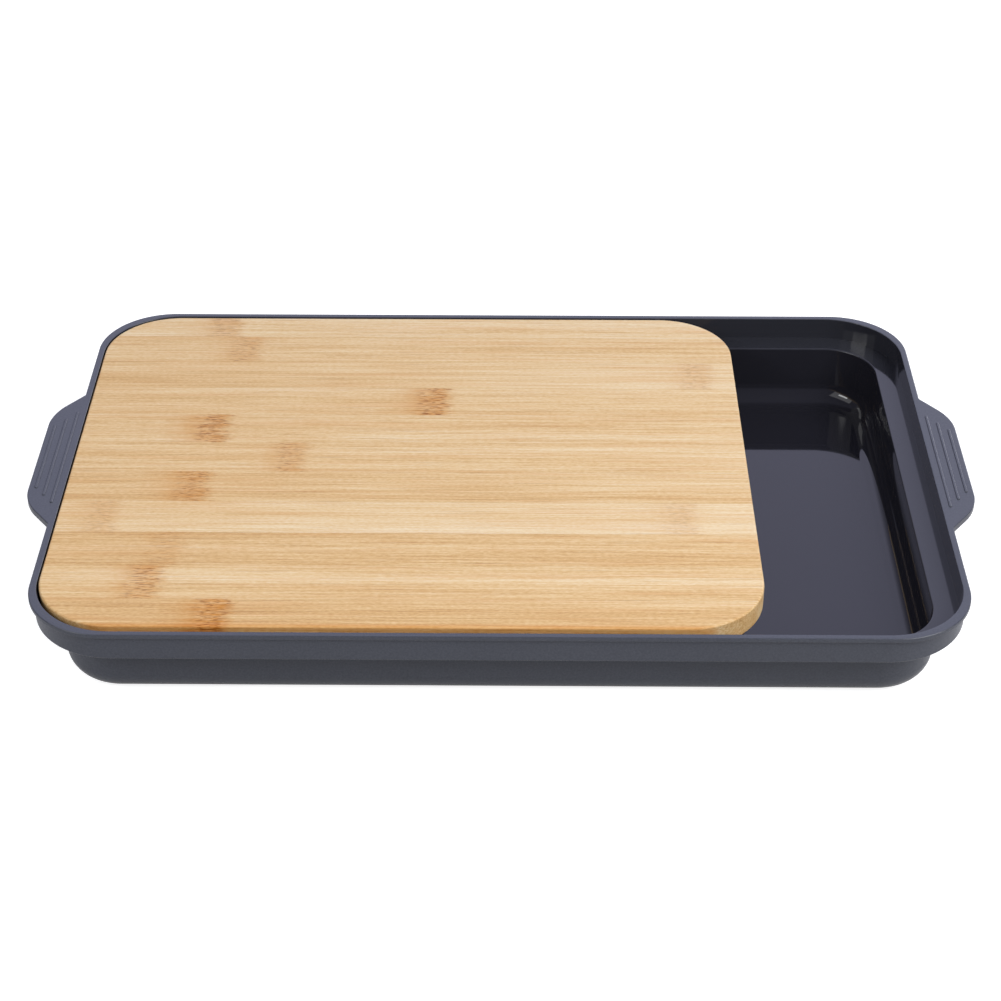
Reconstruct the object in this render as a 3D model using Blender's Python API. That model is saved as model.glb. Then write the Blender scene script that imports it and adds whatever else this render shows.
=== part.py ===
"""Cutting board with tray: a bamboo board, glued up from strips, that slides on the ledge of a moulded tray.

Metres, +X along the tray, +Y to its back, +Z up. The origin is the middle of the tray's base, on the table.
"""
import math

import bmesh
import bpy
from mathutils import Matrix, Vector

# Tray: outline of the lip, and overall height
RIM_LENGTH = 0.360
RIM_WIDTH = 0.242
TRAY_HEIGHT = 0.0376

# Tray: lip and upper wall; the lip's corners are tighter than the wall's, so it grows wider round them
LIP_OVERHANG = 0.0010
LIP_DEPTH = 0.0020
LIP_CORNER_TIGHTENING = 0.0030
UPPER_WALL = 0.00165
WALL_CORNER_RADIUS = 0.0335
WALL_DRAFT = math.radians(1.5)

# Tray: ledge that carries the board, and the basin below it
LEDGE_DEPTH = 0.0096
LEDGE_WIDTH = 0.0102
LEDGE_THICKNESS = 0.0026
BASIN_WALL = 0.0020
BASIN_FILLET = 0.0082

# Rounding of the tray's thin edges, and of the ledge's inner edge
EDGE_ROUNDING = 0.0004
LEDGE_ROUNDING = 0.0006

# Handles: flat plates flush with the rim, one at each end, whose round roots run a little way into the lip.
# They sit a little to the back of the tray's middle
HANDLE_REACH = 0.0120
HANDLE_TIP_WIDTH = 0.0662
HANDLE_ROOT_WIDTH = 0.0982
HANDLE_THICKNESS = 0.0030
HANDLE_TIP_RADIUS = 0.0260
HANDLE_ROOT_RADIUS = 0.0030
HANDLE_ROOT_SINK = 0.0002
HANDLE_SHIFT_BACK = 0.0008

# Grip ribs on each handle, from just outside the lip to near the tip, each kept back from the plate's sides
RIB_COUNT = 3
RIB_WIDTH = 0.0012
RIB_HEIGHT = 0.0004
RIB_LIP_MARGIN = 0.0010
RIB_TIP_MARGIN = 0.0030
RIB_END_MARGIN = 0.0133

# End rounding of a rib as a share of its width, and of a handle's tip as a share of the largest that fits
RIB_END_SHARE = 0.45
TIP_ROUND_SHARE = 0.95

# Board, glued up from bamboo strips
BOARD_LENGTH = 0.2785
BOARD_THICKNESS = 0.0095
BOARD_EDGE_EASING = 0.0006
STRIP_WIDTH = 0.0220
NARROWEST_STRIP = 0.0060
GLUE_LINE = 0.0001

# How the board fits the tray, and where it lies: pushed to the left end, a little towards the back
END_CLEARANCE = 0.0003
SEAT_CLEARANCE = 0.0003
SIDE_PLAY = 0.00185
CORNER_PLAY = 0.0006
BOARD_SHIFT_BACK = 0.0008

# Fineness of round corners
CORNER_STEPS = 9
FILLET_STEPS = 5
SMOOTH_ANGLE = math.radians(35)

# Heights of the tray's levels above the table
LEDGE_Z = TRAY_HEIGHT - LEDGE_DEPTH
STEP_Z = LEDGE_Z - LEDGE_THICKNESS
LIP_BOTTOM_Z = TRAY_HEIGHT - LIP_DEPTH
FILLET_Z = BASIN_WALL + BASIN_FILLET

# Insets of the inside walls from the lip's outline
DRAFT_SLOPE = math.tan(WALL_DRAFT)
UPPER_INSET = LIP_OVERHANG + UPPER_WALL
LEDGE_OUTER_INSET = UPPER_INSET + DRAFT_SLOPE * LEDGE_DEPTH
LEDGE_INNER_INSET = LEDGE_OUTER_INSET + LEDGE_WIDTH

# Corner radii at the lip's outline, and the board's outline, from the tray's wall round the ledge
WALL_CORNER = WALL_CORNER_RADIUS + LIP_OVERHANG
LIP_CORNER = WALL_CORNER - LIP_CORNER_TIGHTENING
BOARD_WIDTH = RIM_WIDTH - 2 * (LEDGE_OUTER_INSET + SIDE_PLAY)
BOARD_CORNER_RADIUS = WALL_CORNER - LEDGE_OUTER_INSET - CORNER_PLAY

# Finishes, colours linear; each strip takes its own shade between the two bamboo colours, front strip first
TRAY_ROUGHNESS = 0.22
TRAY_COLOUR = (0.105, 0.112, 0.140)
BAMBOO_ROUGHNESS = 0.55
BAMBOO_LIGHT = (0.800, 0.580, 0.330)
BAMBOO_DARK = (0.640, 0.420, 0.210)
STRIP_SHADES = (0.7, 0.2, 0.5, 0.0, 0.6, 0.3, 0.6, 0.4, 0.5, 0.6, 0.3)


def clear_scene():
    for obj in list(bpy.data.objects):
        bpy.data.objects.remove(obj, do_unlink=True)


def plain_material(name, colour, roughness):
    """A Principled material with one colour."""
    material = bpy.data.materials.new(name)
    material.use_nodes = True
    shader = material.node_tree.nodes["Principled BSDF"]
    shader.inputs["Base Color"].default_value = (*colour, 1.0)
    shader.inputs["Roughness"].default_value = roughness
    shader.inputs["Metallic"].default_value = 0.0
    return material


def add_object(name, bm, material=None, parent=None):
    """Makes an object of a closed bmesh, faces outward, smooth between its sharp edges."""
    bmesh.ops.recalc_face_normals(bm, faces=bm.faces)
    mesh = bpy.data.meshes.new(name)
    bm.to_mesh(mesh)
    bm.free()
    mesh.shade_smooth()
    mesh.set_sharp_from_angle(angle=SMOOTH_ANGLE)
    if material:
        mesh.materials.append(material)
    obj = bpy.data.objects.new(name, mesh)
    obj.parent = parent
    bpy.context.scene.collection.objects.link(obj)
    return obj


def rounded_outline(corners):
    """A closed outline from (x, y, radius) corners, each rounded by an arc tangent to both its sides."""
    points = []
    for i, (x, y, radius) in enumerate(corners):
        corner = Vector((x, y))
        if radius == 0.0:
            points.append(corner)
            continue
        before = (Vector(corners[i - 1][:2]) - corner).normalized()
        after = (Vector(corners[(i + 1) % len(corners)][:2]) - corner).normalized()
        half_angle = before.angle(after) / 2
        centre = corner + (before + after).normalized() * (radius / math.sin(half_angle))
        spoke = corner + before * (radius / math.tan(half_angle)) - centre
        turn = math.copysign(math.pi - 2 * half_angle, after.cross(before))
        for step in range(CORNER_STEPS + 1):
            points.append(centre + Matrix.Rotation(turn * step / CORNER_STEPS, 2) @ spoke)
    return points


def rectangle_outline(length, width, radius):
    x, y = length / 2, width / 2
    return rounded_outline([(x, -y, radius), (x, y, radius), (-x, y, radius), (-x, -y, radius)])


def loft(layers):
    """A closed solid through (outline, z) layers of equally many points, capped at both ends."""
    bm = bmesh.new()
    rings = [[bm.verts.new((point.x, point.y, z)) for point in outline] for outline, z in layers]
    for lower, upper in zip(rings, rings[1:]):
        for i in range(len(lower)):
            bm.faces.new((lower[i - 1], lower[i], upper[i], upper[i - 1]))
    for end in (rings[0], rings[-1]):
        bm.faces.new(end)
    return bm


def basin_fillet(inset, radius):
    """The basin's round bottom corner as (inset, z) points, from the drafted wall down to the flat floor."""
    points = []
    for step in range(FILLET_STEPS + 1):
        angle = WALL_DRAFT + (math.pi / 2 - WALL_DRAFT) * step / FILLET_STEPS
        points.append((inset - radius * math.cos(angle), FILLET_Z - radius * math.sin(angle)))
    return points


def tray_section():
    """The tray's wall, from base to floor, as (inset from the lip's outline, z, corner radius there)."""
    wall_run = LEDGE_Z - FILLET_Z + BASIN_FILLET * math.sin(WALL_DRAFT)
    fillet_inset = LEDGE_INNER_INSET + DRAFT_SLOPE * wall_run + BASIN_FILLET * math.cos(WALL_DRAFT)
    outer_fillet = basin_fillet(fillet_inset, BASIN_FILLET + BASIN_WALL)
    inner_fillet = basin_fillet(fillet_inset, BASIN_FILLET)
    tangent_inset, tangent_z = outer_fillet[0]
    step_inner = tangent_inset - DRAFT_SLOPE * (STEP_Z - tangent_z)
    step_outer = LIP_OVERHANG + DRAFT_SLOPE * (LIP_BOTTOM_Z - STEP_Z)

    outside = list(reversed(outer_fillet)) + [
        (step_inner, STEP_Z),
        (step_outer + EDGE_ROUNDING, STEP_Z),
        (step_outer, STEP_Z + EDGE_ROUNDING),
        (LIP_OVERHANG, LIP_BOTTOM_Z),
    ]
    lip = [
        (EDGE_ROUNDING, LIP_BOTTOM_Z),
        (0.0, LIP_BOTTOM_Z + EDGE_ROUNDING),
        (0.0, TRAY_HEIGHT - EDGE_ROUNDING),
        (EDGE_ROUNDING, TRAY_HEIGHT),
    ]
    inside = [
        (UPPER_INSET - EDGE_ROUNDING, TRAY_HEIGHT),
        (UPPER_INSET, TRAY_HEIGHT - EDGE_ROUNDING),
        (LEDGE_OUTER_INSET, LEDGE_Z),
        (LEDGE_INNER_INSET - LEDGE_ROUNDING, LEDGE_Z),
        (LEDGE_INNER_INSET, LEDGE_Z - LEDGE_ROUNDING),
    ] + inner_fillet

    section = [(inset, z, WALL_CORNER) for inset, z in outside]
    section += [(inset, z, LIP_CORNER) for inset, z in lip]
    section += [(inset, z, WALL_CORNER) for inset, z in inside]
    return section


def handle_plate(side):
    """The handle's plate at one end, rooted inside the upper wall and blended into the lip."""
    lip_x = RIM_LENGTH / 2
    blend_x = lip_x - HANDLE_ROOT_SINK
    root_x = lip_x - LIP_OVERHANG - UPPER_WALL / 2
    tip_x = lip_x + HANDLE_REACH
    root_y = HANDLE_ROOT_WIDTH / 2
    tip_y = HANDLE_TIP_WIDTH / 2
    blend_y = root_y + HANDLE_ROOT_RADIUS
    sloping_side = Vector((tip_x - blend_x, root_y - tip_y))
    half_turn = math.atan2(sloping_side.x, sloping_side.y) / 2
    largest_tip_radius = sloping_side.length / math.tan(half_turn) - HANDLE_ROOT_RADIUS
    tip_radius = min(HANDLE_TIP_RADIUS, TIP_ROUND_SHARE * largest_tip_radius)
    back_half = [
        (side * tip_x, tip_y, tip_radius),
        (side * blend_x, root_y, HANDLE_ROOT_RADIUS),
        (side * blend_x, blend_y, 0.0),
        (side * root_x, blend_y, 0.0),
    ]
    front_half = [(x, -y, radius) for x, y, radius in reversed(back_half)]
    outline = [point + Vector((0.0, HANDLE_SHIFT_BACK)) for point in rounded_outline(front_half + back_half)]
    bm = loft([(outline, TRAY_HEIGHT - HANDLE_THICKNESS), (outline, TRAY_HEIGHT)])
    free_edges = []
    for edge in bm.edges:
        first, second = (vert.co for vert in edge.verts)
        if first.z == second.z and min(abs(first.x), abs(second.x)) >= blend_x - EDGE_ROUNDING / 2:
            free_edges.append(edge)
    bmesh.ops.bevel(bm, geom=free_edges, offset=EDGE_ROUNDING, segments=1, affect="EDGES")
    return bm


def grip_rib(side, index):
    """One low rib on a handle, rooted in the plate by its own height."""
    reach = RIB_LIP_MARGIN + (HANDLE_REACH - RIB_LIP_MARGIN - RIB_TIP_MARGIN) * index / (RIB_COUNT - 1)
    plate_width = HANDLE_ROOT_WIDTH + (HANDLE_TIP_WIDTH - HANDLE_ROOT_WIDTH) * reach / HANDLE_REACH
    x = side * (RIM_LENGTH / 2 + reach)
    length = plate_width - 2 * RIB_END_MARGIN
    layers = []
    for inset, z in (
        (0.0, TRAY_HEIGHT - RIB_HEIGHT),
        (0.0, TRAY_HEIGHT + RIB_HEIGHT / 2),
        (RIB_HEIGHT / 2, TRAY_HEIGHT + RIB_HEIGHT),
    ):
        width = RIB_WIDTH - 2 * inset
        outline = rectangle_outline(width, length - 2 * inset, RIB_END_SHARE * width)
        layers.append(([point + Vector((x, HANDLE_SHIFT_BACK)) for point in outline], z))
    return loft(layers)


def join_to(obj, name, bm):
    """Unites a shape with an object through a Boolean modifier, and keeps the shape as a hidden guide."""
    guide = add_object(name, bm)
    guide.hide_render = True
    guide.display_type = "WIRE"
    union = obj.modifiers.new(name, "BOOLEAN")
    union.operation = "UNION"
    union.solver = "EXACT"
    union.object = guide


def make_tray():
    layers = []
    for inset, z, corner in tray_section():
        outline = rectangle_outline(RIM_LENGTH - 2 * inset, RIM_WIDTH - 2 * inset, corner - inset)
        layers.append((outline, z))
    tray = add_object("tray", loft(layers), plain_material("tray plastic", TRAY_COLOUR, TRAY_ROUGHNESS))
    for side, end in ((-1, "left"), (1, "right")):
        join_to(tray, f"{end} handle plate", handle_plate(side))
        for index in range(RIB_COUNT):
            join_to(tray, f"{end} handle rib {index + 1}", grip_rib(side, index))
    return tray


def board_blank():
    """The whole board with eased edges, its underside at z = 0, before it is parted into strips."""
    layers = []
    for inset, z in (
        (BOARD_EDGE_EASING, 0.0),
        (0.0, BOARD_EDGE_EASING),
        (0.0, BOARD_THICKNESS - BOARD_EDGE_EASING),
        (BOARD_EDGE_EASING, BOARD_THICKNESS),
    ):
        outline = rectangle_outline(
            BOARD_LENGTH - 2 * inset, BOARD_WIDTH - 2 * inset, BOARD_CORNER_RADIUS - inset
        )
        layers.append((outline, z))
    return loft(layers)


def glue_joints():
    """The y of each glue joint: full strips about the middle, and what is left at both edges."""
    pairs = int((BOARD_WIDTH / 2 - NARROWEST_STRIP) / STRIP_WIDTH + 0.5)
    back_half = [(index + 0.5) * STRIP_WIDTH for index in range(pairs)]
    return [-y for y in reversed(back_half)] + back_half


def part_strip(front, back):
    """The slice of the board between two glue joints, half a glue line short of each."""
    bm = board_blank()
    for y, outward in ((front, -1.0), (back, 1.0)):
        if y is None:
            continue
        cut = bmesh.ops.bisect_plane(
            bm,
            geom=bm.verts[:] + bm.edges[:] + bm.faces[:],
            plane_co=(0.0, y - outward * GLUE_LINE / 2, 0.0),
            plane_no=(0.0, outward, 0.0),
            clear_outer=True,
        )
        edges = [item for item in cut["geom_cut"] if isinstance(item, bmesh.types.BMEdge)]
        bmesh.ops.edgeloop_fill(bm, edges=edges)
    return bm


def make_board():
    """The strips, all carried by an empty at the middle of the board's underside."""
    left_wall = -RIM_LENGTH / 2 + LEDGE_OUTER_INSET
    board = bpy.data.objects.new("board slide", None)
    board.location = (
        left_wall + END_CLEARANCE + BOARD_LENGTH / 2,
        BOARD_SHIFT_BACK,
        LEDGE_Z + SEAT_CLEARANCE,
    )
    bpy.context.scene.collection.objects.link(board)
    joints = [None] + glue_joints() + [None]
    for index, (front, back) in enumerate(zip(joints, joints[1:])):
        shade = STRIP_SHADES[index % len(STRIP_SHADES)]
        colour = [light + (dark - light) * shade for light, dark in zip(BAMBOO_LIGHT, BAMBOO_DARK)]
        name = f"bamboo_strip_{index + 1:02d}"
        add_object(name, part_strip(front, back), plain_material(name, colour, BAMBOO_ROUGHNESS), board)
    return board


clear_scene()
make_tray()
make_board()
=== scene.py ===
# %% [markdown]
# # Cutting board with tray
#
# A bamboo cutting board, glued up from strips, lies on the ledge of a moulded plastic tray. It slides along
# the tray to open more or less of the basin below it. The plain CAD model is loaded first as a fixed frame,
# in metres, and every piece below is made at its place in that frame. Later cells then give it finer shapes
# and materials.

# %% Load the frame
import math

import bmesh
import bpy
from mathutils import Matrix, Vector


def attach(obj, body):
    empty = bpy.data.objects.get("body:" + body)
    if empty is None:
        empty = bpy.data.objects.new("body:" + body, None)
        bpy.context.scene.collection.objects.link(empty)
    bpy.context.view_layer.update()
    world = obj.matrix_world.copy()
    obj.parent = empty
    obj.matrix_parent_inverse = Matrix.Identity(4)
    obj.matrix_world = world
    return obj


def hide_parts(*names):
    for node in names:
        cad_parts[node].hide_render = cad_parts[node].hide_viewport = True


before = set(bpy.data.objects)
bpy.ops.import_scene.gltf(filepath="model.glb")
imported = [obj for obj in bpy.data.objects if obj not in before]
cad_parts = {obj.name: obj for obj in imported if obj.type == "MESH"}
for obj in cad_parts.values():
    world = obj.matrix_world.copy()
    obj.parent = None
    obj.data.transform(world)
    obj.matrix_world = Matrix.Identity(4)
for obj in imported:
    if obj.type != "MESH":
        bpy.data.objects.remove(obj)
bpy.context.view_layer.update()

MM = 0.001

# %% [markdown]
# ## Camera
#
# The photo was taken from the front, 34 degrees above the table, with a long lens. The numbers come from
# fitting a pinhole camera to the tray's rim, its handles and the board's outline, so that the render lies
# on the photo. A lens in Blender is given in millimetres of a 36 mm wide sensor: focal length in pixels,
# over the picture's width, times 36.

# %% Set up the camera
PICTURE_WIDTH = 1001
FOCAL_PIXELS = 2320.9
SENSOR_WIDTH = 36.0
NEAREST_VIEW = 10.0 * MM
CAMERA_PLACE = Vector((5.606, -805.858, 562.394)) * MM
CAMERA_DIP = math.radians(34.0896)
CAMERA_TURN = math.radians(0.4107)
CAMERA_ROLL = math.radians(0.0487)

bpy.ops.object.camera_add(location=CAMERA_PLACE)
camera = bpy.context.object
turn = Matrix.Rotation(CAMERA_TURN, 4, "Z")
dip = Matrix.Rotation(math.pi / 2 - CAMERA_DIP, 4, "X")
roll = Matrix.Rotation(CAMERA_ROLL, 4, "Z")
camera.rotation_euler = (turn @ dip @ roll).to_euler()
camera.data.sensor_width = SENSOR_WIDTH
camera.data.lens = FOCAL_PIXELS / PICTURE_WIDTH * SENSOR_WIDTH
camera.data.clip_start = NEAREST_VIEW
bpy.context.scene.camera = camera
print("lens in mm:", round(camera.data.lens, 2))

# %% [markdown]
# ## Helpers for materials
#
# Colours are written as the hex numbers that a picture editor shows. Shaders want linear light, so one
# function turns them. A second one fills or links a node's inputs. Given a node as an input, it links that
# node's first output in use. The third adds a node, sets its properties and fills its inputs. With those, a
# material reads as a list of what feeds what.

# %% Colour and node helpers
def linear(code):
    """An sRGB hex colour as linear red, green, blue and alpha."""
    channels = [int(code[place:place + 2], 16) / 255 for place in (1, 3, 5)]
    light = [value / 12.92 if value <= 0.04045 else ((value + 0.055) / 1.055) ** 2.4 for value in channels]
    return (*light, 1.0)


def fill(tree, node, inputs):
    """Fills or links a node's inputs, given by name or number."""
    for socket, value in inputs.items():
        if isinstance(value, bpy.types.Node):
            value = next(output for output in value.outputs if output.enabled)
        if isinstance(value, bpy.types.NodeSocket):
            tree.links.new(value, node.inputs[socket])
        else:
            node.inputs[socket].default_value = value


def add_node(tree, kind, inputs, **settings):
    """Adds a node to a tree, sets its properties, and fills or links its inputs."""
    node = tree.nodes.new(kind)
    for name, value in settings.items():
        setattr(node, name, value)
    fill(tree, node, inputs)
    return node


# %% [markdown]
# ## Studio
#
# The object stands on a white table in front of a white wall, and the room above it and on the camera's
# side is dim. That is why the tray's floor and ledge carry a pale reflection, while its inner walls and the
# fillet round the floor stay nearly black. The room could be built of walls and curtains. A world that is
# bright only between two bearings, and up to some height, gives the same reflections with less to render. A
# bearing is the angle seen from above, clockwise from the back. The camera itself sees plain white behind
# the object.

# %% Build the world
ROOM_DIM = 0.20
ROOM_BRIGHT = 1.20
ROOM_TINT = "#DEDFFF"
WHITE = linear("#FFFFFF")
# The wall's fades, in degrees of bearing and of height.
WALL_LEFT_END = (-36, -18)
WALL_RIGHT_END = (30, 60)
WALL_TOP = (52, 76)

world = bpy.data.worlds.new("white_room")
bpy.context.scene.world = world
world.use_nodes = True
tree = world.node_tree
tree.nodes.clear()
look = add_node(tree, "ShaderNodeTexCoord", {})
axes = add_node(tree, "ShaderNodeSeparateXYZ", {0: look.outputs["Generated"]})
bearing = add_node(tree, "ShaderNodeMath", {0: axes.outputs["X"], 1: axes.outputs["Y"]}, operation="ARCTAN2")
bearing = add_node(tree, "ShaderNodeMath", {0: bearing}, operation="DEGREES")
height = add_node(tree, "ShaderNodeMath", {0: axes.outputs["Z"]}, operation="ARCSINE")
height = add_node(tree, "ShaderNodeMath", {0: height}, operation="DEGREES")
white_wall = 1.0
for angle, (start, end), before, after in (
    (bearing, WALL_LEFT_END, 0.0, 1.0), (bearing, WALL_RIGHT_END, 1.0, 0.0), (height, WALL_TOP, 1.0, 0.0)
):
    fade = add_node(
        tree, "ShaderNodeMapRange",
        {"Value": angle, "From Min": start, "From Max": end, "To Min": before, "To Max": after},
        interpolation_type="SMOOTHSTEP",
    )
    white_wall = add_node(tree, "ShaderNodeMath", {0: white_wall, 1: fade}, operation="MULTIPLY")
room = add_node(tree, "ShaderNodeMapRange", {"Value": white_wall, "To Min": ROOM_DIM, "To Max": ROOM_BRIGHT})
path = add_node(tree, "ShaderNodeLightPath", {})
level = add_node(tree, "ShaderNodeMix", {0: path.outputs["Is Camera Ray"], 2: room, 3: 1.0})
tint = add_node(
    tree, "ShaderNodeMix", {0: path.outputs["Is Camera Ray"], 6: linear(ROOM_TINT), 7: WHITE},
    data_type="RGBA",
)
background = add_node(tree, "ShaderNodeBackground", {"Color": tint, "Strength": level})
add_node(tree, "ShaderNodeOutputWorld", {"Surface": background})
print("world of", len(tree.nodes), "nodes")

# %% [markdown]
# The table is matt and keeps the object's shadow. Lit by the lamps alone it would look grey, so it glows
# for the camera's own rays, which brings it up to white. Rays that the object mirrors see less of that
# glow, because the tray in the photo mirrors a duller table.

# %% Lay the table
TABLE_SIZE = 8.0
TABLE_DROP = 0.2 * MM
TABLE_COLOUR = "#B8B8B8"
TABLE_GLOW = 0.85
TABLE_GLOW_MIRRORED = 0.20

bpy.ops.object.select_all(action="DESELECT")
bpy.ops.mesh.primitive_plane_add(size=TABLE_SIZE, location=(0.0, 0.0, -TABLE_DROP))
table = bpy.context.object
table.name = "white_table"
paper = bpy.data.materials.new("white matt table")
paper.use_nodes = True
tree = paper.node_tree
tree.nodes.clear()
matt = add_node(tree, "ShaderNodeBsdfDiffuse", {"Color": linear(TABLE_COLOUR)})
path = add_node(tree, "ShaderNodeLightPath", {})
mirrored = add_node(
    tree, "ShaderNodeMath", {0: path.outputs["Is Glossy Ray"], 1: path.outputs["Is Transmission Ray"]},
    operation="MAXIMUM",
)
mirrored = add_node(tree, "ShaderNodeMath", {0: mirrored, 1: TABLE_GLOW_MIRRORED}, operation="MULTIPLY")
glow = add_node(
    tree, "ShaderNodeMath", {0: path.outputs["Is Camera Ray"], 1: TABLE_GLOW, 2: mirrored},
    operation="MULTIPLY_ADD",
)
shine = add_node(tree, "ShaderNodeEmission", {"Color": WHITE, "Strength": glow})
both = add_node(tree, "ShaderNodeAddShader", {0: matt, 1: shine})
add_node(tree, "ShaderNodeOutputMaterial", {"Surface": both})
table.data.materials.append(paper)
print("table of", TABLE_SIZE, "m")

# %% [markdown]
# Four softboxes stand round the table. The key at the front left is a bright, low and wide strip. The
# tray's polished corner shows it as two small crisp patches. A big dim fill round it lights the fronts, and
# is the soft highlight on the corner's fillet. The large one at the front right gives most of the light,
# and stands so far to the side that the basin doesn't show it. A small one at the back right draws the
# light lines on the right sides of the ribs. Together with the room they light the board's top to about its
# written colour, and the fronts to three quarters of it. A lamp is placed by its bearing and its height,
# and its power follows from how bright its face should look.

# %% Hang the softboxes
LAMP_DISTANCE = 1.6
WATTS_PER_LEVEL = 4


def softbox(name, bearing, height, width, tall, face_level):
    """A rectangular lamp, its bearing and height in degrees, its size in metres, its face's brightness."""
    turn, rise = math.radians(bearing), math.radians(height)
    direction = Vector((math.sin(turn) * math.cos(rise), math.cos(turn) * math.cos(rise), math.sin(rise)))
    place = LAMP_DISTANCE * direction
    bpy.ops.object.light_add(type="AREA", location=place)
    lamp = bpy.context.object
    lamp.name = name
    lamp.rotation_euler = (-place).to_track_quat("-Z", "Y").to_euler()
    lamp.data.shape = "RECTANGLE"
    lamp.data.size = width
    lamp.data.size_y = tall
    lamp.data.energy = WATTS_PER_LEVEL * width * tall * face_level
    print(name, "power in W:", round(lamp.data.energy, 1))


softbox("front_left_key", bearing=-124, height=35, width=0.66, tall=0.24, face_level=6.0)
softbox("front_left_fill", bearing=-125, height=38, width=1.60, tall=1.20, face_level=0.9)
softbox("front_right_softbox", bearing=122, height=43, width=1.10, tall=1.10, face_level=5.0)
softbox("back_right_softbox", bearing=30, height=14, width=0.50, tall=0.45, face_level=2.2)

# %% [markdown]
# ## Plastic of the tray
#
# The tray is moulded in grey-blue polypropylene. The mould was polished for the inside, most of all in the
# basin, and left satin outside. One function makes the finishes: the pigment with a very slight cloudiness,
# as fillers in plastic give, and a skin that isn't quite even, so that reflections aren't ruler straight.
# On the satin finish the skin is the mould's spark-eroded grain: it sparkles a little in the light.
# Plastic's refractive index of 1.5 gives weak reflections, so the dark basin shows the room clearly. The
# plastic is one colour. The inside is still given darker colours than the outside, and the basin the
# darkest of all: painted shade of the tray's recess.

# %% Moulded plastic
PLASTIC_IOR = 1.5
CLOUD_MM = 45.0
GRAIN_SHARE = 0.75
GLOSS_SPREAD = 0.2


def moulded_plastic(name, colour, cloud_colour, roughness, grain_mm, grain_depth_mm):
    """Polypropylene with a slightly cloudy pigment, an uneven skin and the mould's grain."""
    plastic = bpy.data.materials.new(name)
    plastic.use_nodes = True
    tree = plastic.node_tree
    place = add_node(tree, "ShaderNodeTexCoord", {}).outputs["Object"]
    clouds, grain = (
        add_node(tree, "ShaderNodeTexNoise", {"Vector": place, "Scale": 1 / (cell * MM), "Detail": 2.0})
        for cell in (CLOUD_MM, grain_mm)
    )
    shade = add_node(tree, "ShaderNodeMix", {0: GRAIN_SHARE, 2: clouds, 3: grain})
    pigment = add_node(
        tree, "ShaderNodeMix", {0: shade, 6: linear(colour), 7: linear(cloud_colour)}, data_type="RGBA"
    )
    dullest, shiniest = roughness * (1 + GLOSS_SPREAD), roughness * (1 - GLOSS_SPREAD)
    gloss = add_node(tree, "ShaderNodeMapRange", {"Value": grain, "To Min": shiniest, "To Max": dullest})
    relief = add_node(
        tree, "ShaderNodeBump", {"Height": grain, "Distance": grain_depth_mm * MM, "Strength": 1.0}
    )
    surface = {"Base Color": pigment, "IOR": PLASTIC_IOR, "Roughness": gloss, "Normal": relief}
    fill(tree, tree.nodes["Principled BSDF"], surface)
    return plastic


satin_plastic = moulded_plastic(
    "satin polypropylene", "#373A42", "#4E515A", roughness=0.24, grain_mm=0.8, grain_depth_mm=0.02
)
# Painted shade: the inside's colours are darker than the satin outside's, and the basin's are the darkest.
shaded_ledge_plastic = moulded_plastic(
    "glossy polypropylene, painted shade", "#2A2B31", "#2F3036", roughness=0.08, grain_mm=60.0, grain_depth_mm=0.01
)
shaded_basin_plastic = moulded_plastic(
    "polished polypropylene, darker painted shade", "#212127", "#25252C", roughness=0.04, grain_mm=60.0, grain_depth_mm=0.01
)
print("plastics:", satin_plastic.name, "/", shaded_ledge_plastic.name, "/", shaded_basin_plastic.name)

# %% [markdown]
# ## Modelling helpers
#
# Each piece is shaped in edit mode as by hand: faces or edges are selected by where they are, and an
# operator works on them. The first helpers do the selecting. Others add a flat plate, the start of every
# piece here, draw it to its thickness, and round its corners and edges. The last two finish a piece and
# print its size.

# %% Selecting
NEAR = 0.01 * MM


def pick(piece):
    """Selects one object alone and makes it the active one."""
    bpy.ops.object.select_all(action="DESELECT")
    piece.select_set(True)
    bpy.context.view_layer.objects.active = piece


def choose(piece, part, wanted):
    """In edit mode, selects the verts, edges or faces of a piece that pass a test, and nothing else."""
    bpy.ops.mesh.select_mode(type={"verts": "VERT", "edges": "EDGE", "faces": "FACE"}[part])
    bpy.ops.mesh.select_all(action="DESELECT")
    mesh = bmesh.from_edit_mesh(piece.data)
    mesh.normal_update()
    chosen = [item for item in getattr(mesh, part) if wanted(item)]
    for item in chosen:
        item.select_set(True)
    mesh.select_flush_mode()
    bmesh.update_edit_mesh(piece.data)
    return len(chosen)


def lies_at(height):
    """A test for edges that lie flat at a height."""
    return lambda edge: all(abs(vert.co.z - height) < NEAR for vert in edge.verts)


def is_flat(edge):
    """Whether an edge lies flat at any height."""
    return abs(edge.verts[0].co.z - edge.verts[1].co.z) < NEAR


# %% Shaping a plate
def start_plate(name, length, width, centre):
    """Adds a flat rectangle at its size and place, its object at the origin, and opens it in edit mode."""
    bpy.ops.object.select_all(action="DESELECT")
    bpy.ops.mesh.primitive_plane_add(size=1.0, location=centre)
    piece = bpy.context.object
    piece.name = name
    piece.data.name = name
    piece.scale = (length, width, 1.0)
    bpy.ops.object.transform_apply(location=True, rotation=True, scale=True)
    bpy.ops.object.mode_set(mode="EDIT")
    return piece


def thicken(rise):
    """Draws the open flat sheet up or down to a plate, with all its faces turned outwards."""
    bpy.ops.mesh.select_all(action="SELECT")
    bpy.ops.mesh.extrude_region_move(TRANSFORM_OT_translate={"value": (0.0, 0.0, rise)})
    bpy.ops.mesh.select_all(action="SELECT")
    bpy.ops.mesh.normals_make_consistent(inside=False)


def round_corners(piece, wanted, tangent, faces, profile=0.5):
    """Rounds a sheet's corners by a vertex bevel."""
    choose(piece, "verts", wanted)
    bpy.ops.mesh.bevel(offset=tangent, segments=faces, affect="VERTICES", profile=profile)


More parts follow.
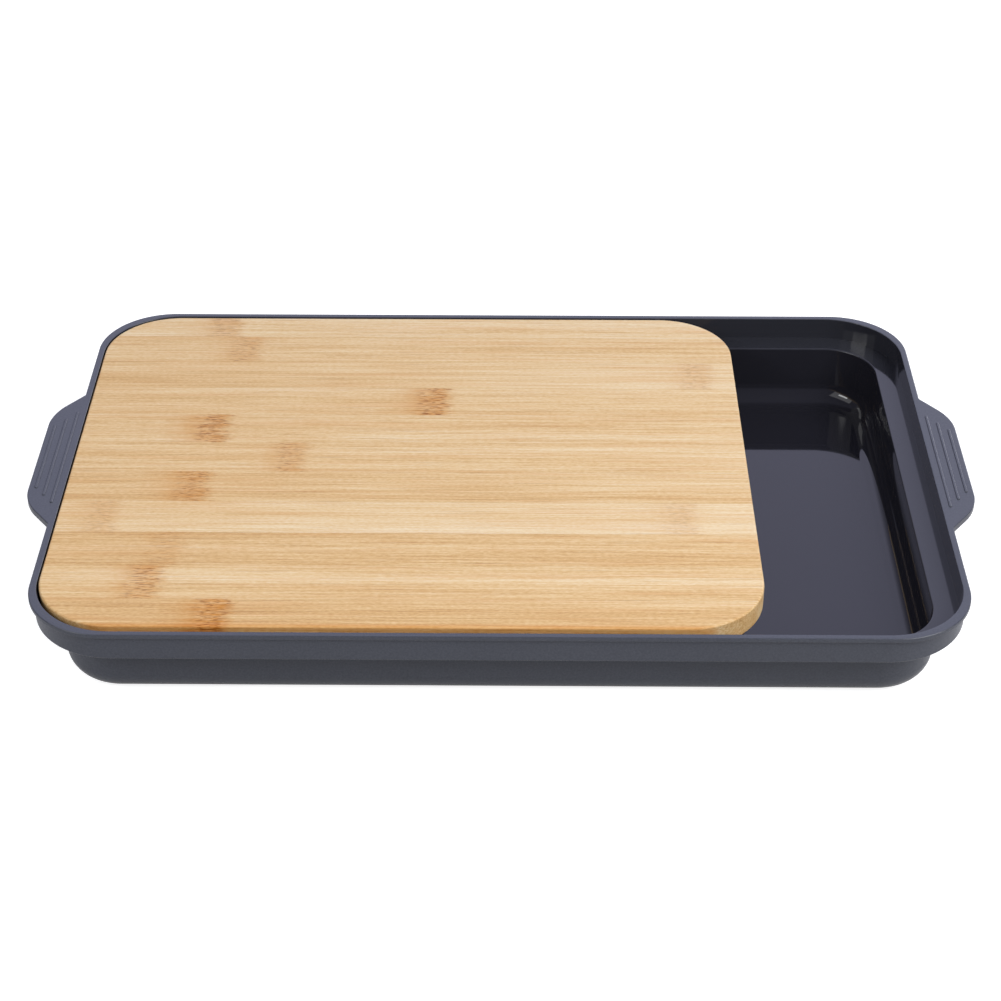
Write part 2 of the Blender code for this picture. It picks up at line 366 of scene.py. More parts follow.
def round_edges(piece, wanted, radius, faces):
    """Rounds the edges that pass a test, and says how many they were."""
    count = choose(piece, "edges", wanted)
    bpy.ops.mesh.bevel(offset=radius, segments=faces, affect="EDGES", loop_slide=False)
    return count


# %% Finishing a piece
SMOOTH_BELOW = math.radians(35)
LARGE_FACE_WEIGHT = 80


def finish_edges(piece):
    """Leaves edit mode, smooths all but sharp edges, and lets large faces set the shading of their rims."""
    bpy.ops.object.mode_set(mode="OBJECT")
    pick(piece)
    bpy.ops.object.shade_smooth_by_angle(angle=SMOOTH_BELOW)
    weighted = piece.modifiers.new("weighted normals", "WEIGHTED_NORMAL")
    weighted.keep_sharp = True
    weighted.weight = LARGE_FACE_WEIGHT
    bpy.ops.object.modifier_apply(modifier=weighted.name)


def report(piece):
    """Prints a piece's size in mm and its number of faces."""
    print(piece.name, [round(side / MM, 2) for side in piece.dimensions], len(piece.data.polygons), "faces")


# %% [markdown]
# ## The tray
#
# The tray is one moulding of even wall: a lip, an upper wall with draft, a ledge for the board, a basin
# with a big fillet, and a flat floor. It could be lofted from a drawn section. Insetting is closer to how
# it is read: a plate with the lip's outline is made first, its top face is inset and lowered level by level
# for the inside, and its bottom face for the outside. An inset keeps each corner's centre, so all walls
# stay parallel round the corners.

# %% Dimensions of the tray
RIM_LENGTH = 360.0 * MM
RIM_WIDTH = 242.0 * MM
TRAY_HEIGHT = 37.6 * MM
LIP_OVERHANG = 1.0 * MM
LIP_DEPTH = 2.0 * MM
UPPER_WALL = 1.65 * MM
WALL_CORNER = 34.5 * MM
LIP_CORNER = 31.5 * MM
LEDGE_DEPTH = 9.6 * MM
LEDGE_WIDTH = 10.2 * MM
LEDGE_THICKNESS = 2.6 * MM
BASIN_WALL = 2.0 * MM
BASIN_FILLET = 8.2 * MM
DRAFT_DEGREES = 1.5
DRAFT_SLOPE = math.tan(math.radians(DRAFT_DEGREES))
THIN_ROUNDING = 0.4 * MM
LEDGE_ROUNDING = 0.6 * MM
CORNER_FACES = 28
FILLET_FACES = 12
THIN_FACES = 3
LEDGE_FACES = 4
LOOKS_UP = 0.5

LEDGE_Z = TRAY_HEIGHT - LEDGE_DEPTH
STEP_Z = LEDGE_Z - LEDGE_THICKNESS
LIP_BOTTOM_Z = TRAY_HEIGHT - LIP_DEPTH
UPPER_INSET = LIP_OVERHANG + UPPER_WALL
LEDGE_OUTER_INSET = UPPER_INSET + DRAFT_SLOPE * LEDGE_DEPTH
LEDGE_INNER_INSET = LEDGE_OUTER_INSET + LEDGE_WIDTH
FLOOR_INSET = LEDGE_INNER_INSET + DRAFT_SLOPE * (LEDGE_Z - BASIN_WALL)
STEP_OUTER_INSET = LIP_OVERHANG + DRAFT_SLOPE * (LIP_BOTTOM_Z - STEP_Z)
BASE_INSET = FLOOR_INSET - BASIN_WALL + DRAFT_SLOPE * BASIN_WALL
STEP_INNER_INSET = BASE_INSET - DRAFT_SLOPE * STEP_Z
print("floor inset in mm:", round(FLOOR_INSET / MM, 2), "base inset in mm:", round(BASE_INSET / MM, 2))

# %% The lip's plate
tray = start_plate("tray_moulding", RIM_LENGTH, RIM_WIDTH, (0.0, 0.0, TRAY_HEIGHT))
round_corners(tray, lambda vert: True, WALL_CORNER, CORNER_FACES)
thicken(-LIP_DEPTH)

# %% The outside, from the lip down to the base
count = choose(tray, "faces", lambda face: face.normal.z < -LOOKS_UP)
bpy.ops.mesh.inset(thickness=LIP_OVERHANG, depth=0.0)
bpy.ops.mesh.inset(thickness=STEP_OUTER_INSET - LIP_OVERHANG, depth=LIP_BOTTOM_Z - STEP_Z)
bpy.ops.mesh.inset(thickness=STEP_INNER_INSET - STEP_OUTER_INSET, depth=0.0)
bpy.ops.mesh.inset(thickness=BASE_INSET - STEP_INNER_INSET, depth=STEP_Z)
print("faces drawn down to the base:", count)

# %% The inside, from the rim down to the basin's floor
count = choose(tray, "faces", lambda face: face.normal.z > LOOKS_UP)
bpy.ops.mesh.inset(thickness=UPPER_INSET, depth=0.0)
bpy.ops.mesh.inset(thickness=LEDGE_OUTER_INSET - UPPER_INSET, depth=-LEDGE_DEPTH)
bpy.ops.mesh.inset(thickness=LEDGE_WIDTH, depth=0.0)
bpy.ops.mesh.inset(thickness=FLOOR_INSET - LEDGE_INNER_INSET, depth=-(LEDGE_Z - BASIN_WALL))
print("faces drawn down to the floor:", count)

# %% [markdown]
# The lip's corners are tighter than the wall's, so the lip grows wider round each corner. Its outer points
# are drawn towards the corner's centre and then moved out again, which keeps them tangent to the straight
# sides.

# %% Tighten the lip's corners
OUTLINE_REACH = 0.05 * MM


def on_lip_corner(sign_x, sign_y):
    """A test for the points of one corner of the lip's outline, and that corner's centre."""
    centre = Vector((sign_x * (RIM_LENGTH / 2 - WALL_CORNER), sign_y * (RIM_WIDTH / 2 - WALL_CORNER)))

    def wanted(vert):
        away = vert.co.xy - centre
        beyond = away.x * sign_x >= -NEAR and away.y * sign_y >= -NEAR
        return beyond and away.length > WALL_CORNER - OUTLINE_REACH

    return wanted, centre


tighter = LIP_CORNER / WALL_CORNER
outward = WALL_CORNER - LIP_CORNER
for sign_x in (-1, 1):
    for sign_y in (-1, 1):
        wanted, centre = on_lip_corner(sign_x, sign_y)
        count = choose(tray, "verts", wanted)
        bpy.ops.transform.resize(value=(tighter, tighter, 1.0), center_override=(*centre, TRAY_HEIGHT))
        bpy.ops.transform.translate(value=(sign_x * outward, sign_y * outward, 0.0))
        print("lip corner points moved:", count)

# %% [markdown]
# Moulded edges are never sharp. The rings of edges at each level are found by height and by how far they
# lie from the lip's outline, and each is bevelled to its radius. A bevel's offset runs along the faces, and
# on a drafted wall the tangent length is a little shorter than the radius.

# %% Round the edges
RING_REACH = 0.25 * MM


def distance_from_outline(point):
    """How far inside the wall's notional outline a point lies."""
    x = abs(point.x) - (RIM_LENGTH / 2 - WALL_CORNER)
    y = abs(point.y) - (RIM_WIDTH / 2 - WALL_CORNER)
    if x > 0 and y > 0:
        return WALL_CORNER - math.hypot(x, y)
    return WALL_CORNER - max(x, y)


def ring(height, inset):
    """A test for the ring of edges at a height and at an inset from the outline."""
    flat = lies_at(height)

    def wanted(edge):
        off = [abs(distance_from_outline(vert.co) - inset) for vert in edge.verts]
        return flat(edge) and max(off) < RING_REACH

    return wanted


def round_ring(height, inset, radius, faces, tangent=1.0):
    """Bevels one ring of edges."""
    count = round_edges(tray, ring(height, inset), radius * tangent, faces)
    print("rounded", count, "edges at z", round(height / MM, 2), "inset", round(inset / MM, 2))


drafted_tangent = math.tan(math.radians((90 - DRAFT_DEGREES) / 2))
round_ring(BASIN_WALL, FLOOR_INSET, BASIN_FILLET, FILLET_FACES, drafted_tangent)
round_ring(0.0, BASE_INSET, BASIN_FILLET + BASIN_WALL, FILLET_FACES, drafted_tangent)
round_ring(LEDGE_Z, LEDGE_INNER_INSET, LEDGE_ROUNDING, LEDGE_FACES)
round_ring(STEP_Z, STEP_OUTER_INSET, LEDGE_ROUNDING, LEDGE_FACES)
round_ring(TRAY_HEIGHT, UPPER_INSET, THIN_ROUNDING, THIN_FACES)

# %% Round the lip
LIP_REACH = 0.3 * MM


def lip_edge(edge):
    """Both rings of the lip's outline: flat edges of its outer side."""
    flat = lies_at(TRAY_HEIGHT)(edge) or lies_at(LIP_BOTTOM_Z)(edge)
    return flat and all(distance_from_outline(vert.co) < LIP_REACH for vert in edge.verts)


print("rounded", round_edges(tray, lip_edge, THIN_ROUNDING, THIN_FACES), "edges of the lip")
bpy.ops.object.mode_set(mode="OBJECT")
report(tray)

# %% [markdown]
# ## The handles
#
# At each end a flat plate stands out from the lip, flush with the rim, and carries three grip ribs. The
# plate's outline is built from a root strip inside the lip, whose ends taper into the wall, and an extruded
# tip that is scaled narrower. A vertex bevel rounds a corner with part of an ellipse, and on these blunt
# corners a profile a little over 0.5 makes it almost a circle. In the photo both handles sit a little
# behind the tray's middle, so the finished plate is moved back.

# %% Dimensions of the handles
HANDLE_REACH = 12.0 * MM
HANDLE_TIP_WIDTH = 66.2 * MM
HANDLE_ROOT_WIDTH = 98.2 * MM
HANDLE_THICKNESS = 3.0 * MM
HANDLE_TIP_RADIUS = 26.0 * MM
HANDLE_ROOT_RADIUS = 3.0 * MM
HANDLE_ROOT_SINK = 0.2 * MM
HANDLE_ROOT_FADE = 3.0 * MM
HANDLE_SHIFT_BACK = 0.8 * MM
BLUNT_PROFILE = 0.553
HANDLE_TIP_FACES = 14
HANDLE_ROOT_FACES = 5
STRAIGHT_WITHIN = math.radians(1.0)

slope = math.atan2(HANDLE_REACH + HANDLE_ROOT_SINK, (HANDLE_ROOT_WIDTH - HANDLE_TIP_WIDTH) / 2)
tip_tangent = HANDLE_TIP_RADIUS * math.tan(slope / 2)
root_tangent = HANDLE_ROOT_RADIUS * math.tan(slope / 2)
print("handle side slopes", round(math.degrees(slope), 1), "degrees")

# %% Build the handle plates
def handle_outline(side):
    """A flat sheet with the handle's outline, its root inside the tray's upper wall, left in edit mode."""
    outer = RIM_LENGTH / 2 - HANDLE_ROOT_SINK
    root = RIM_LENGTH / 2 - LIP_OVERHANG - UPPER_WALL / 2
    tip = RIM_LENGTH / 2 + HANDLE_REACH
    half = HANDLE_ROOT_WIDTH / 2
    sheet = start_plate("handle_plate", outer - root, 2 * half, (side * (outer + root) / 2, 0.0, TRAY_HEIGHT))
    for end in (-1, 1):
        choose(sheet, "edges", lambda edge: all(vert.co.y * end > half - NEAR for vert in edge.verts))
        for run in (HANDLE_ROOT_RADIUS, HANDLE_ROOT_FADE):
            bpy.ops.mesh.extrude_region_move(TRANSFORM_OT_translate={"value": (0.0, end * run, 0.0)})
        bpy.ops.transform.resize(value=(0.0, 1.0, 1.0), center_override=(side * root, 0.0, TRAY_HEIGHT))
        bpy.ops.mesh.remove_doubles(threshold=NEAR)

    def outer_middle(edge):
        return all(vert.co.x * side > outer - NEAR and abs(vert.co.y) < half + NEAR for vert in edge.verts)

    choose(sheet, "edges", outer_middle)
    bpy.ops.mesh.extrude_region_move(TRANSFORM_OT_translate={"value": (side * (tip - outer), 0.0, 0.0)})
    narrower = HANDLE_TIP_WIDTH / HANDLE_ROOT_WIDTH
    bpy.ops.transform.resize(value=(1.0, narrower, 1.0), center_override=(side * tip, 0.0, TRAY_HEIGHT))
    bpy.ops.mesh.select_all(action="SELECT")
    bpy.ops.mesh.dissolve_limited(angle_limit=STRAIGHT_WITHIN, use_dissolve_boundaries=False)

    def at_tip(vert):
        return vert.co.x * side > tip - NEAR

    def at_root(vert):
        return vert.co.x * side > outer - NEAR and abs(abs(vert.co.y) - half) < NEAR

    round_corners(sheet, at_tip, tip_tangent, HANDLE_TIP_FACES, BLUNT_PROFILE)
    round_corners(sheet, at_root, root_tangent, HANDLE_ROOT_FACES, BLUNT_PROFILE)
    return sheet


def handle_plate(side):
    """The sheet drawn down to its thickness, its free edges rounded, and moved to its place."""
    plate = handle_outline(side)
    thicken(-HANDLE_THICKNESS)
    outside = RIM_LENGTH / 2 - HANDLE_ROOT_SINK - NEAR

    def free(edge):
        return is_flat(edge) and all(vert.co.x * side > outside for vert in edge.verts)

    round_edges(plate, free, THIN_ROUNDING, THIN_FACES)
    bpy.ops.mesh.select_all(action="SELECT")
    bpy.ops.transform.translate(value=(0.0, HANDLE_SHIFT_BACK, 0.0))
    bpy.ops.object.mode_set(mode="OBJECT")
    report(plate)
    return plate


# %% [markdown]
# A rib is a low round-ended bar. Its plate gets its ends rounded, is drawn up, and its top edge is bevelled
# round, so that the side that faces the light carries a thin bright line, as in the photo.

# %% Build the grip ribs
RIB_COUNT = 3
RIB_WIDTH = 1.2 * MM
RIB_HEIGHT = 0.4 * MM
RIB_END_ROUNDING = 0.45 * RIB_WIDTH
RIB_END_FACES = 4
RIB_TOP_ROUNDING = 0.8 * RIB_HEIGHT
RIB_TOP_FACES = 3
RIB_LIP_MARGIN = 1.0 * MM
RIB_TIP_MARGIN = 3.0 * MM
RIB_END_MARGIN = 13.3 * MM


def grip_rib(side, index):
    """One low rib across a handle, rooted in the plate."""
    reach = RIB_LIP_MARGIN + (HANDLE_REACH - RIB_LIP_MARGIN - RIB_TIP_MARGIN) * index / (RIB_COUNT - 1)
    width_there = HANDLE_ROOT_WIDTH + (HANDLE_TIP_WIDTH - HANDLE_ROOT_WIDTH) * reach / HANDLE_REACH
    length = width_there - 2 * RIB_END_MARGIN
    place = (side * (RIM_LENGTH / 2 + reach), HANDLE_SHIFT_BACK, TRAY_HEIGHT - RIB_HEIGHT)
    rib = start_plate("grip_rib", RIB_WIDTH, length, place)
    round_corners(rib, lambda vert: True, RIB_END_ROUNDING, RIB_END_FACES)
    thicken(2 * RIB_HEIGHT)
    round_edges(rib, lies_at(TRAY_HEIGHT + RIB_HEIGHT), RIB_TOP_ROUNDING, RIB_TOP_FACES)
    bpy.ops.object.mode_set(mode="OBJECT")
    return rib


# %% [markdown]
# Plates, ribs and tray are one moulding in reality, so they are united by Boolean modifiers, which are
# applied. The exact solver copes with the plate's top, which lies in the same plane as the rim.

# %% Unite them with the tray
def unite(whole, part):
    """Adds a part to a whole by an applied Boolean, and removes the part's own object."""
    pick(whole)
    union = whole.modifiers.new("union", "BOOLEAN")
    union.operation = "UNION"
    union.solver = "EXACT"
    union.object = part
    bpy.ops.object.modifier_apply(modifier=union.name)
    bpy.data.objects.remove(part)


for side in (-1, 1):
    unite(tray, handle_plate(side))
    for index in range(RIB_COUNT):
        unite(tray, grip_rib(side, index))
report(tray)

# %% [markdown]
# The satin finish ends at the inner edge of the rim, and the polish is finest in the basin, below the
# ledge. The inside's finishes are also darker in colour, most of all in the basin, as painted shade. A face
# is inside the tray if it lies below the rim and looks up or towards the tray's middle.

# %% Give the tray its finishes
LOOKS_INWARD = 0.3


def finish_of(face):
    """Which finish a face has: 0 satin, 1 glossy with painted shade (upper wall, ledge), 2 polished with
    darker painted shade (basin).
    """
    inward = -face.center.xy.normalized().dot(face.normal.xy)
    below_rim = face.center.z < TRAY_HEIGHT - THIN_ROUNDING / 2
    within = distance_from_outline(face.center) > UPPER_INSET - THIN_ROUNDING
    if not (below_rim and within and (face.normal.z > LOOKS_UP or inward > LOOKS_INWARD)):
        return 0
    return 2 if face.center.z < LEDGE_Z - LEDGE_ROUNDING else 1


tray.data.materials.clear()
for plastic in (satin_plastic, shaded_ledge_plastic, shaded_basin_plastic):
    tray.data.materials.append(plastic)
counts = [0, 0, 0]
for face in tray.data.polygons:
    face.material_index = finish_of(face)
    counts[face.material_index] += 1
finish_edges(tray)
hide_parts("tray")
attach(tray, "tray")
print("satin, glossy and polished faces:", counts)

# %% [markdown]
# ## Bamboo
#
# Strips of bamboo are glued edge to edge. Along each run long fine fibres, in bands of paler and browner
# tone, with a few darker hair lines. Where the stem had a node, a tan patch about 14 mm long crosses the
# strip, full of short orange-brown dashes. The pattern is made of stretched noise in the piece's own space,
# in millimetres, so that it runs through the strip: streaks on the top and the sides, and dots of cut
# fibres on the ends.

# %% Stretched noise
NOISE_ROUGHNESS = 0.6
SHIFT_DIRECTION = (1.0, 0.37, 0.71)


def stretched_noise(tree, place, length, width, detail, part, shift):
    """Noise drawn out along X: its cells' length and width in mm, its detail, its and the strip's shift."""
    mapping = {
        "Vector": place,
        "Location": [(shift + part) * share for share in SHIFT_DIRECTION],
        "Scale": (1 / length, 1 / width, 1 / width),
    }
    mapped = add_node(tree, "ShaderNodeMapping", mapping)
    noise = {"Vector": mapped, "Scale": 1.0, "Detail": detail, "Roughness": NOISE_ROUGHNESS}
    return add_node(tree, "ShaderNodeTexNoise", noise).outputs[0]


# %% [markdown]
# The clear wood between the nodes is layered. Bands, streaks, fibres and flecks add up to one level, which
# a colour ramp turns to straw tones. A slower noise makes some streaks pinker, and thin dark hair lines go
# over all. The widths and weights were set so that the render's contrast, line by line, comes close to what
# was measured on the photo.

# %% Clear wood
# Each pattern: the length and width of a cell in mm, the detail, and a shift that sets it apart.
SWAY = (60.0, 14.0, 1.0, 0.0)
BANDS = (300.0, 7.0, 1.0, 3.1)
STREAKS = (120.0, 1.8, 1.0, 5.2)
FIBRES = (50.0, 0.60, 2.0, 7.7)
FLECKS = (2.0, 0.6, 1.0, 9.4)
HAIRS = (40.0, 0.4, 1.0, 11.3)
BLUSH = (70.0, 2.6, 1.0, 31.3)
LAYER_WEIGHTS = {BANDS: 0.50, STREAKS: 0.10, FIBRES: 0.95, FLECKS: 0.50}
WANDER = 1.4
DRIFT_SPAN = 140.0
WOOD_TONES = ((0.0, "#B4844F"), (0.3, "#D0A76E"), (0.5, "#DEBD89"), (0.7, "#E5CB9F"), (1.0, "#EEDEBF"))
BLUSH_FADE = {"From Min": 0.50, "From Max": 0.75, "To Max": 0.30}
BLUSH_COLOUR = "#D7A36A"
HAIR_FADE = {"From Min": 0.64, "From Max": 0.74, "To Max": 0.45}
HAIR_COLOUR = "#A36C3C"


def clear_wood(tree, in_mm, along, tone, drift, shift):
    """The colour of a strip away from its nodes, and its fibre pattern."""
    sway = stretched_noise(tree, in_mm, *SWAY, shift)
    sway = add_node(tree, "ShaderNodeMath", {0: sway, 1: WANDER, 2: -WANDER / 2}, operation="MULTIPLY_ADD")
    sway = add_node(tree, "ShaderNodeCombineXYZ", {"Y": sway})
    place = add_node(tree, "ShaderNodeVectorMath", {0: in_mm, 1: sway}, operation="ADD")

    rise = {0: along, 1: drift / DRIFT_SPAN, 2: tone}
    level = add_node(tree, "ShaderNodeMath", rise, operation="MULTIPLY_ADD")
    layers = {pattern: stretched_noise(tree, place, *pattern, shift) for pattern in LAYER_WEIGHTS}
    for pattern, weight in LAYER_WEIGHTS.items():
        centred = add_node(tree, "ShaderNodeMath", {0: layers[pattern], 1: 0.5}, operation="SUBTRACT")
        level = add_node(tree, "ShaderNodeMath", {0: centred, 1: weight, 2: level}, operation="MULTIPLY_ADD")
    ramp = add_node(tree, "ShaderNodeValToRGB", {"Fac": level})
    tones = ramp.color_ramp.elements
    tones[0].color = linear(WOOD_TONES[0][1])
    tones[1].color = linear(WOOD_TONES[-1][1])
    for position, code in WOOD_TONES[1:-1]:
        tones.new(position).color = linear(code)

    colour = ramp
    for pattern, fade, code in ((BLUSH, BLUSH_FADE, BLUSH_COLOUR), (HAIRS, HAIR_FADE, HAIR_COLOUR)):
        amount = stretched_noise(tree, place, *pattern, shift)
        amount = add_node(tree, "ShaderNodeMapRange", {"Value": amount, **fade})
        colour = add_node(tree, "ShaderNodeMix", {0: amount, 6: colour, 7: linear(code)}, data_type="RGBA")
    return colour, layers[FIBRES]


# %% [markdown]
# A node mark is drawn by how far a point lies from the mark along the strip. A ragged noise shifts that
# distance fibre by fibre, and a small ramp turns it to a strength that fades slowly to the left and ends
# quickly on the right. The strength lays a tan stain, and within a shorter core dark and pale dashes on it.

# %% Node marks
# Profiles along a mark as (place, strength), the mark's middle at 0.5. The reach to each side is in mm.
STAIN = ((0.0, 0.0), (0.22, 0.25), (0.36, 0.70), (0.56, 1.0), (0.68, 0.0))
CORE = ((0.0, 0.0), (0.32, 0.0), (0.42, 1.0), (0.58, 1.0), (0.67, 0.0))
MARK_REACH = 24.0
RAGGED = (18.0, 1.3, 2.0, 23.3)
RAGGED_MM = 13.0
DASHES = (3.2, 0.45, 1.0, 17.9)
PALE_DASHES = {"From Min": 0.42, "From Max": 0.28, "To Max": 0.5}
DARK_DASHES = {"From Min": 0.52, "From Max": 0.64, "To Max": 0.8}
UNEVEN = (18.0, 1.3, 2.0, 41.3)
UNEVEN_STAIN = {"From Min": 0.35, "From Max": 0.65, "To Min": 0.35, "To Max": 1.0}
STAIN_COLOUR = "#C78634"
DARK_DASH_COLOUR = "#864A14"
PALE_DASH_COLOUR = "#E8C793"


def profile_along(tree, offset, shape):
    """A strength that follows a list of (place, value), over the reach of a mark."""
    reach = {"Value": offset, "From Min": -MARK_REACH, "From Max": MARK_REACH}
    span = add_node(tree, "ShaderNodeMapRange", reach)
    ramp = add_node(tree, "ShaderNodeValToRGB", {"Fac": span})
    points = ramp.color_ramp.elements
    points[1].color = (0.0, 0.0, 0.0, 1.0)
    for place, value in shape[1:]:
        points.new(place).color = (value, value, value, 1.0)
    return ramp.outputs["Color"]


def node_marks(tree, in_mm, along, colour, marks, shift):
    """Lays node marks, each (x in mm, depth), over the colour of the clear wood."""
    ragged = stretched_noise(tree, in_mm, *RAGGED, shift)
    shaken = {0: ragged, 1: RAGGED_MM, 2: -RAGGED_MM / 2}
    ragged = add_node(tree, "ShaderNodeMath", shaken, operation="MULTIPLY_ADD")
    dashes = stretched_noise(tree, in_mm, *DASHES, shift)
    pale = add_node(tree, "ShaderNodeMapRange", {"Value": dashes, **PALE_DASHES})
    dark = add_node(tree, "ShaderNodeMapRange", {"Value": dashes, **DARK_DASHES})
    uneven = stretched_noise(tree, in_mm, *UNEVEN, shift)
    uneven = add_node(tree, "ShaderNodeMapRange", {"Value": uneven, **UNEVEN_STAIN})
    for mark_x, depth in marks:
        offset = add_node(tree, "ShaderNodeMath", {0: along, 1: ragged}, operation="ADD")
        offset = add_node(tree, "ShaderNodeMath", {0: offset, 1: mark_x}, operation="SUBTRACT")
        stain = profile_along(tree, offset, STAIN)
        core = profile_along(tree, offset, CORE)
        for strength, layer, code in (
            (stain, uneven, STAIN_COLOUR), (core, pale, PALE_DASH_COLOUR), (core, dark, DARK_DASH_COLOUR)
        ):
            amount = add_node(tree, "ShaderNodeMath", {0: strength, 1: layer}, operation="MULTIPLY")
            amount = add_node(tree, "ShaderNodeMath", {0: amount, 1: depth}, operation="MULTIPLY")
            laid = {0: amount, 6: colour, 7: linear(code)}
            colour = add_node(tree, "ShaderNodeMix", laid, data_type="RGBA")
    return colour


# %% [markdown]
# The strip's surface was sanded and oiled. Oil in open fibres shines less than a closed film would, so the
# specular level is halved. The low gloss varies with the fibres, and the fibres can just be felt. Every
# strip gets a material of its own, with its tone, its drift along the board, its node marks and its own
# part of the noise. Over the last two millimetres before the board's front, and on the front side, the
# colour is multiplied by a warm, darker tint: painted shade on the front edge, which turns away from the
# light.

# %% Bamboo strip
# Where the painted shade on the board's front edge starts and where it is full, in mm behind the front.
FRONT_SHADE_STARTS = 2.6
FRONT_SHADE_FULL = 0.8
FRONT_SHADE_TINT = "#F8DFC0"
OILED_SPECULAR = 0.25
WOOD_GLOSS = {"To Min": 0.42, "To Max": 0.62}
FIBRE_RELIEF = {"Distance": 0.03 * MM, "Strength": 0.6}


def bamboo(name, front, tone, drift, marks, shift):
    """Bamboo: the board's front in mm, the tone at the middle, its rise to the right, the node marks."""
    wood = bpy.data.materials.new(name)
    wood.use_nodes = True
    tree = wood.node_tree
    place = add_node(tree, "ShaderNodeTexCoord", {}).outputs["Object"]
    in_mm = add_node(
        tree, "ShaderNodeVectorMath", {0: place, 1: (1 / MM, 1 / MM, 1 / MM)}, operation="MULTIPLY"
    ).outputs[0]
    axes = add_node(tree, "ShaderNodeSeparateXYZ", {0: in_mm})
    along = axes.outputs["X"]
    colour, fibres = clear_wood(tree, in_mm, along, tone, drift, shift)
    colour = node_marks(tree, in_mm, along, colour, marks, shift)
    # Painted shade: a warm, darker tint over the board's front edge and front side.
    front_shade = add_node(
        tree, "ShaderNodeMapRange",
        {"Value": axes.outputs["Y"], "From Min": front + FRONT_SHADE_STARTS, "From Max": front + FRONT_SHADE_FULL},
    )
    colour = add_node(
        tree, "ShaderNodeMix", {0: front_shade, 6: colour, 7: linear(FRONT_SHADE_TINT)},
        data_type="RGBA", blend_type="MULTIPLY",
    )
    gloss = add_node(tree, "ShaderNodeMapRange", {"Value": fibres, **WOOD_GLOSS})
    relief = add_node(tree, "ShaderNodeBump", {"Height": fibres, **FIBRE_RELIEF})
    surface = {
        "Base Color": colour, "Specular IOR Level": OILED_SPECULAR, "Roughness": gloss, "Normal": relief,
    }
    fill(tree, tree.nodes["Principled BSDF"], surface)
    return wood


# %% [markdown]
# ## The board
#
# The board is 278.5 mm long, 9.5 mm thick, and as wide as the tray's ledge allows. It is modelled once as a
# whole: a plate with round corners, drawn to its thickness, with eased edges. Each strip is then a copy of
# it, cut at its two glue joints, half a glue line short of each. So the strips fit each other, and the
# outline runs on over them.

# %% Dimensions of the board
BOARD_LENGTH = 278.5 * MM
BOARD_THICKNESS = 9.5 * MM
BOARD_EASING = 0.9 * MM
EASING_FACES = 4
STRIP_WIDTH = 22.0 * MM
GLUE_LINE = 0.1 * MM
END_CLEARANCE = 0.3 * MM
SEAT_CLEARANCE = 0.3 * MM
SIDE_PLAY = 1.85 * MM
CORNER_PLAY = 0.6 * MM
BOARD_SHIFT_BACK = 0.8 * MM

BOARD_WIDTH = RIM_WIDTH - 2 * (LEDGE_OUTER_INSET + SIDE_PLAY)
BOARD_CORNER = WALL_CORNER - LEDGE_OUTER_INSET - CORNER_PLAY
BOARD_FRONT = BOARD_SHIFT_BACK - BOARD_WIDTH / 2
BOARD_X = -RIM_LENGTH / 2 + LEDGE_OUTER_INSET + END_CLEARANCE + BOARD_LENGTH / 2
BOARD_TOP = LEDGE_Z + SEAT_CLEARANCE + BOARD_THICKNESS
print("board in mm:", round(BOARD_WIDTH / MM, 1), "wide, corners", round(BOARD_CORNER / MM, 1))

# %% Build the whole board
blank = start_plate("board_blank", BOARD_LENGTH, BOARD_WIDTH, (BOARD_X, BOARD_SHIFT_BACK, BOARD_TOP))
round_corners(blank, lambda vert: True, BOARD_CORNER, CORNER_FACES)
thicken(-BOARD_THICKNESS)
round_edges(blank, is_flat, BOARD_EASING, EASING_FACES)
bpy.ops.object.mode_set(mode="OBJECT")
report(blank)

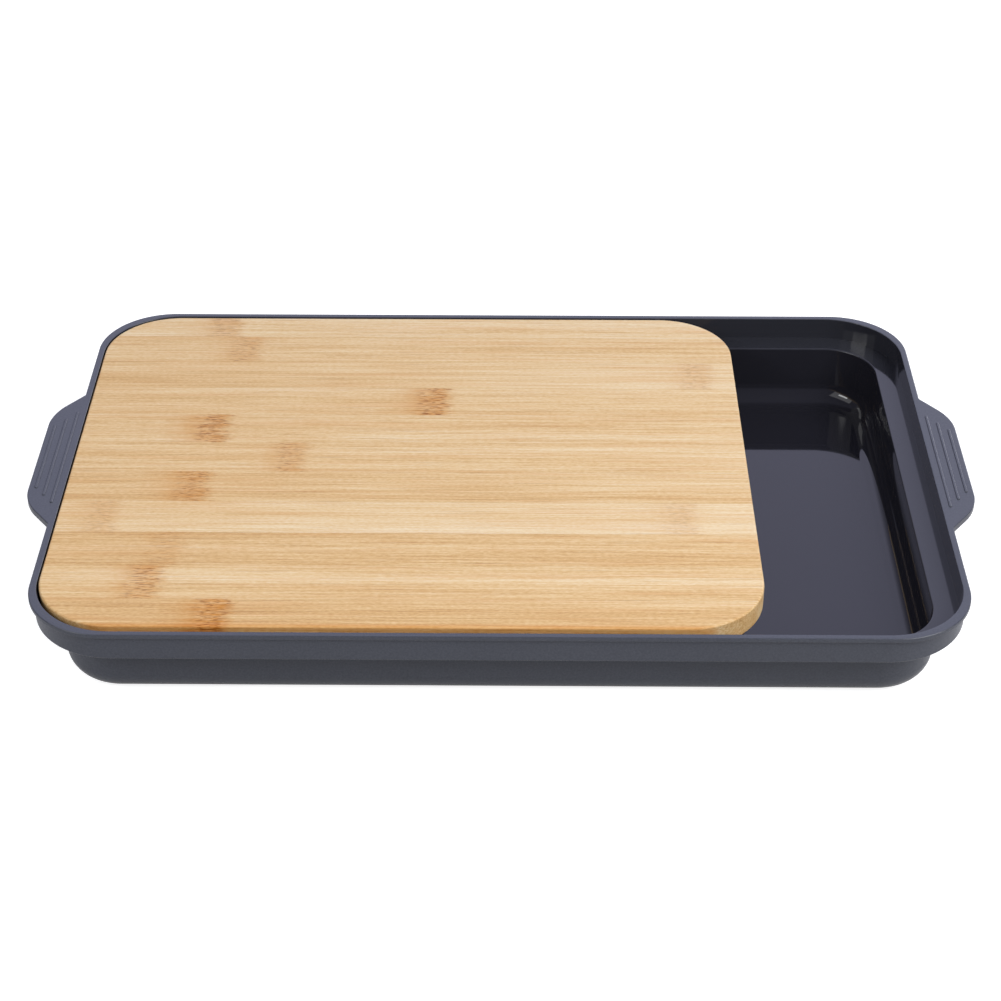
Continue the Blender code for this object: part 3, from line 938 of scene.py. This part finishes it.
# %% Cut it into strips
# Front strip first: record slot, tone, how much paler to the right, node marks as (x mm, depth).
STRIPS = (
    ("bamboo_tan", 0.42, 0.00, ((-108.0, 1.0),)),
    ("bamboo_light", 0.50, 0.02, ((-136.0, 0.75),)),
    ("bamboo_mid", 0.43, 0.03, ((-131.0, 0.35),)),
    ("bamboo_light", 0.64, 0.08, ((-159.0, 0.35), (72.0, 0.30))),
    ("bamboo_mid", 0.50, 0.05, ((-125.0, 0.78),)),
    ("bamboo_light", 0.52, 0.05, ((-87.0, 0.55),)),
    ("bamboo_mid", 0.51, 0.02, ((-122.0, 0.88),)),
    ("bamboo_mid", 0.52, 0.02, ((-29.0, 0.95),)),
    ("bamboo_mid", 0.56, 0.12, ((85.0, 0.35),)),
    ("bamboo_mid", 0.52, 0.00, ((-114.0, 0.50),)),
    ("bamboo_light", 0.66, 0.05, ((-125.0, 0.50),)),
)
CUT_TOLERANCE = 0.001 * MM
NOISE_START = 1.7
NOISE_STEP = 5.3


def cut_at(y, outward):
    """Cuts the open mesh at a glue joint, keeps the side away from outward, and closes the cut."""
    bpy.ops.mesh.select_all(action="SELECT")
    bpy.ops.mesh.bisect(
        plane_co=(0.0, y - outward * GLUE_LINE / 2, 0.0), plane_no=(0.0, outward, 0.0),
        use_fill=True, clear_outer=True, threshold=CUT_TOLERANCE,
    )


full_strips = len(STRIPS) - 2
first_joint = BOARD_SHIFT_BACK - full_strips * STRIP_WIDTH / 2
joints = [first_joint + index * STRIP_WIDTH for index in range(full_strips + 1)]
for index, (slot, tone, drift, marks) in enumerate(STRIPS):
    pick(blank)
    bpy.ops.object.duplicate()
    strip = bpy.context.object
    strip.name = f"strip_{index + 1:02d}"
    strip.data.name = strip.name
    bpy.ops.object.mode_set(mode="EDIT")
    if index > 0:
        cut_at(joints[index - 1], -1.0)
    if index < len(joints):
        cut_at(joints[index], 1.0)
    finish_edges(strip)
    shift = NOISE_STEP * index + NOISE_START
    wood = bamboo(f"bamboo strip {index + 1}", BOARD_FRONT / MM, tone, drift, marks, shift)
    strip.data.materials.clear()
    strip.data.materials.append(wood)
    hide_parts(f"bamboo_strip_{index + 1:02d}")
    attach(strip, "board")
    report(strip)
bpy.data.objects.remove(blank)

# %% [markdown]
# ## Colour management
#
# The Standard view keeps colours as they are written.

# %% Finish
bpy.context.scene.view_settings.view_transform = "Standard"
